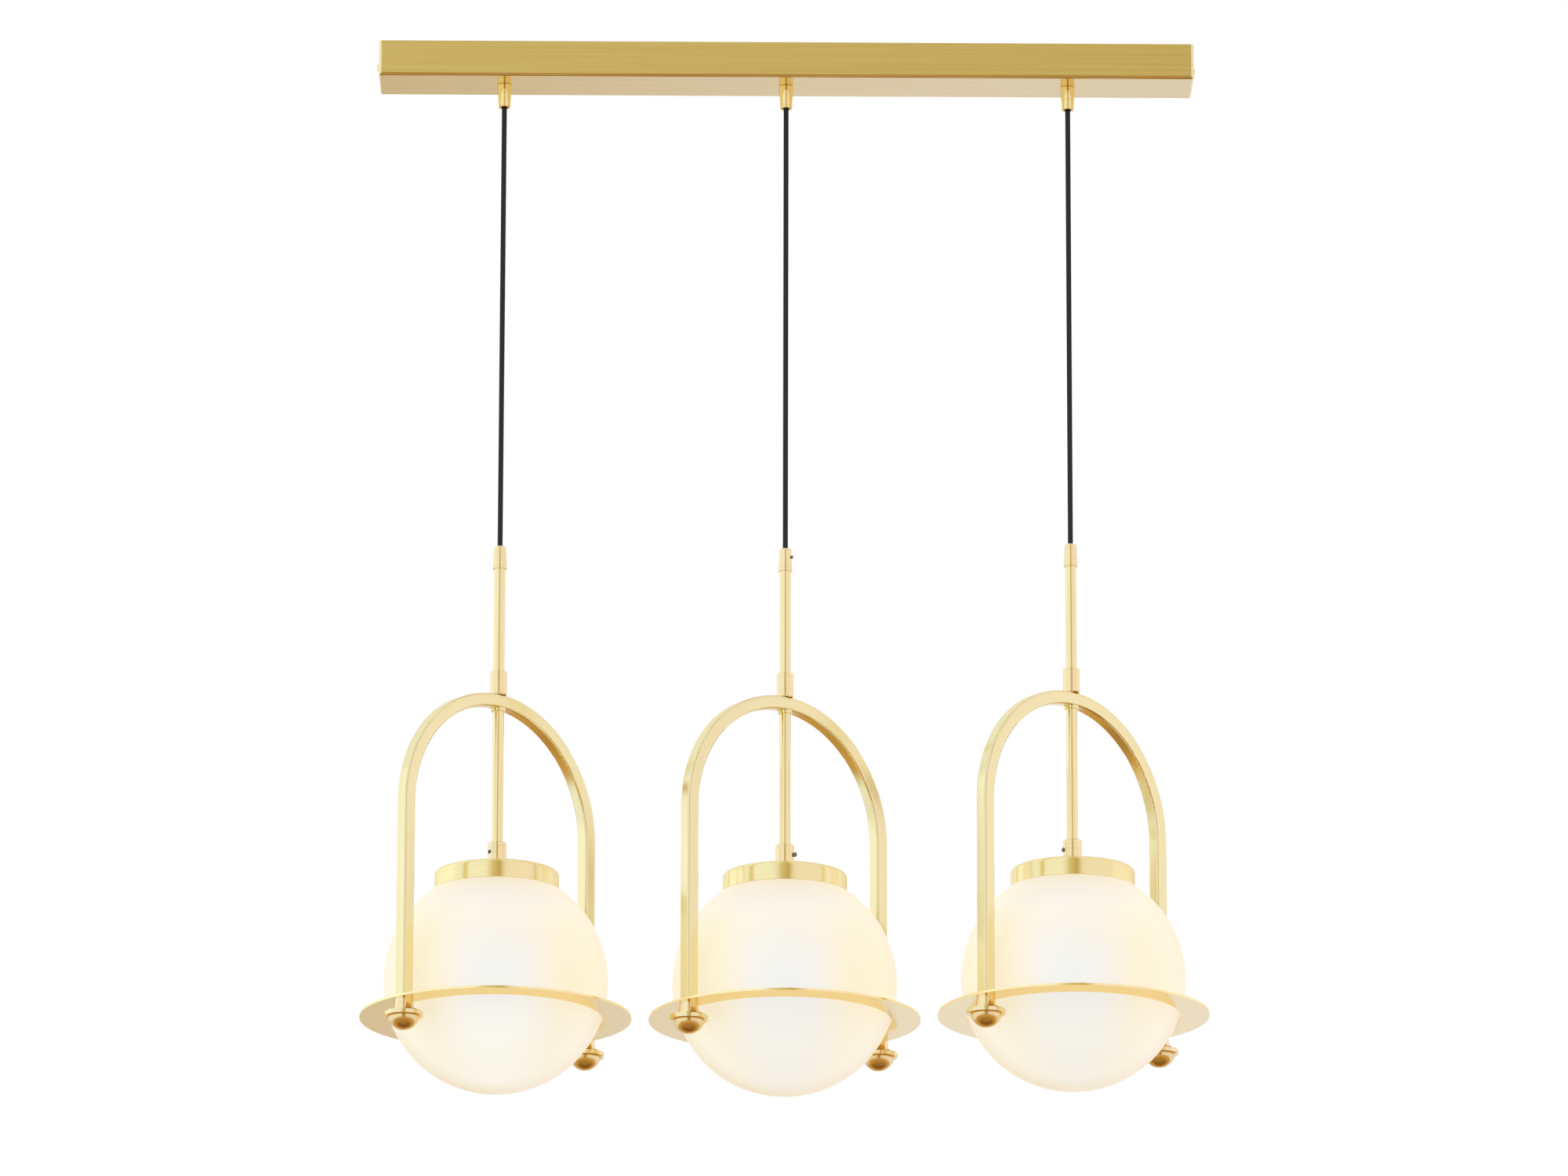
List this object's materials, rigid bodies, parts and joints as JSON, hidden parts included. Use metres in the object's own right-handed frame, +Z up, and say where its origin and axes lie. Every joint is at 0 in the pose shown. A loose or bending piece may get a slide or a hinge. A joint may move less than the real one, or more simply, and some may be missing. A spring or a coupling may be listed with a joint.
{
  "type": "linear island pendant",
  "caption": "Ceiling bar with cords that carry opal globes, each in a flat ring hung from a square-tube arch.",
  "frame": {"origin": "on the ceiling plane, over the middle of the bar", "axes": "+X along the bar, +Z up into the ceiling, -Y towards the side the picture shows"},
  "size_m": [0.7546, 0.2414, 0.9732],
  "materials": {
    "bar_brass": "brushed along its length",
    "bracket_steel": "zinc plated",
    "screw_brass": "polished",
    "turned_brass": "satin, turned",
    "nut_brass": "plain",
    "tube_brass": "satin",
    "arch_brass": "brushed along the tube",
    "spun_brass": "spun, brushed",
    "ring_brass": "satin",
    "ball_brass": "polished",
    "cord_black": "matt black sheath",
    "block_plastic": "plain moulded",
    "holder_plastic": "plain moulded",
    "bulb_glass": "frosted",
    "opal_glass": "opal, satin"
  },
  "bodies": {
    "canopy": {"ceiling_bracket": "bracket_steel", "ceiling_bar": "bar_brass", "end_screws": "screw_brass", "cord_grips": "turned_brass", "grip_nuts": "nut_brass", "terminal_block": "block_plastic", "supply_leads": "cord_black", "earth_stud": "nut_brass"},
    "left_line": {"left_cord": "cord_black"},
    "left_cap": {"left_stem_cap": "turned_brass", "left_cap_screw": "screw_brass"},
    "left_lamp": {"left_upper_stem": "tube_brass", "left_arch_coupler": "turned_brass", "left_lower_stem": "tube_brass", "left_gallery_coupler": "turned_brass", "left_coupler_screw": "screw_brass", "left_arch": "arch_brass", "left_gallery": "spun_brass", "left_lamp_holder": "holder_plastic", "left_bulb": "bulb_glass", "left_globe": "opal_glass", "left_ring": "ring_brass", "left_finial_collars": "turned_brass", "left_ball_screws": "ball_brass", "left_inner_lead": "cord_black"},
    "middle_line": {"middle_cord": "cord_black"},
    "middle_cap": {"middle_stem_cap": "turned_brass", "middle_cap_screw": "screw_brass"},
    "middle_lamp": {"middle_upper_stem": "tube_brass", "middle_arch_coupler": "turned_brass", "middle_lower_stem": "tube_brass", "middle_gallery_coupler": "turned_brass", "middle_coupler_screw": "screw_brass", "middle_arch": "arch_brass", "middle_gallery": "spun_brass", "middle_lamp_holder": "holder_plastic", "middle_bulb": "bulb_glass", "middle_globe": "opal_glass", "middle_ring": "ring_brass", "middle_finial_collars": "turned_brass", "middle_ball_screws": "ball_brass", "middle_inner_lead": "cord_black"},
    "right_line": {"right_cord": "cord_black"},
    "right_cap": {"right_stem_cap": "turned_brass", "right_cap_screw": "screw_brass"},
    "right_lamp": {"right_upper_stem": "tube_brass", "right_arch_coupler": "turned_brass", "right_lower_stem": "tube_brass", "right_gallery_coupler": "turned_brass", "right_coupler_screw": "screw_brass", "right_arch": "arch_brass", "right_gallery": "spun_brass", "right_lamp_holder": "holder_plastic", "right_bulb": "bulb_glass", "right_globe": "opal_glass", "right_ring": "ring_brass", "right_finial_collars": "turned_brass", "right_ball_screws": "ball_brass", "right_inner_lead": "cord_black"}
  },
  "joints": [
    {"name": "left_swing", "type": "hinge", "parent": "canopy", "child": "left_line", "pos_m": [-0.2566, 0, -0.0525], "axis": [1, 0, 0], "range_deg": [-30, 30]},
    {"name": "left_tip", "type": "hinge", "parent": "left_line", "child": "left_cap", "pos_m": [-0.2566, 0, -0.473], "axis": [0, 1, 0], "range_deg": [-0.9, 30]},
    {"name": "left_turn", "type": "hinge", "parent": "left_cap", "child": "left_lamp", "pos_m": [-0.2566, 0, -0.4911], "axis": [0, 0, 1], "range_deg": [-180, 180]},
    {"name": "middle_swing", "type": "hinge", "parent": "canopy", "child": "middle_line", "pos_m": [0, 0, -0.0525], "axis": [1, 0, 0], "range_deg": [-30, 30]},
    {"name": "middle_tip", "type": "hinge", "parent": "middle_line", "child": "middle_cap", "pos_m": [0, 0, -0.474], "axis": [0, 1, 0], "range_deg": [-0.9, 0.9]},
    {"name": "middle_turn", "type": "hinge", "parent": "middle_cap", "child": "middle_lamp", "pos_m": [0, 0, -0.4921], "axis": [0, 0, 1], "range_deg": [-180, 180]},
    {"name": "right_swing", "type": "hinge", "parent": "canopy", "child": "right_line", "pos_m": [0.2566, 0, -0.0525], "axis": [1, 0, 0], "range_deg": [-30, 30]},
    {"name": "right_tip", "type": "hinge", "parent": "right_line", "child": "right_cap", "pos_m": [0.2566, 0, -0.4685], "axis": [0, 1, 0], "range_deg": [-30, 0.9]},
    {"name": "right_turn", "type": "hinge", "parent": "right_cap", "child": "right_lamp", "pos_m": [0.2566, 0, -0.4866], "axis": [0, 0, 1], "range_deg": [-180, 180]}
  ]
}
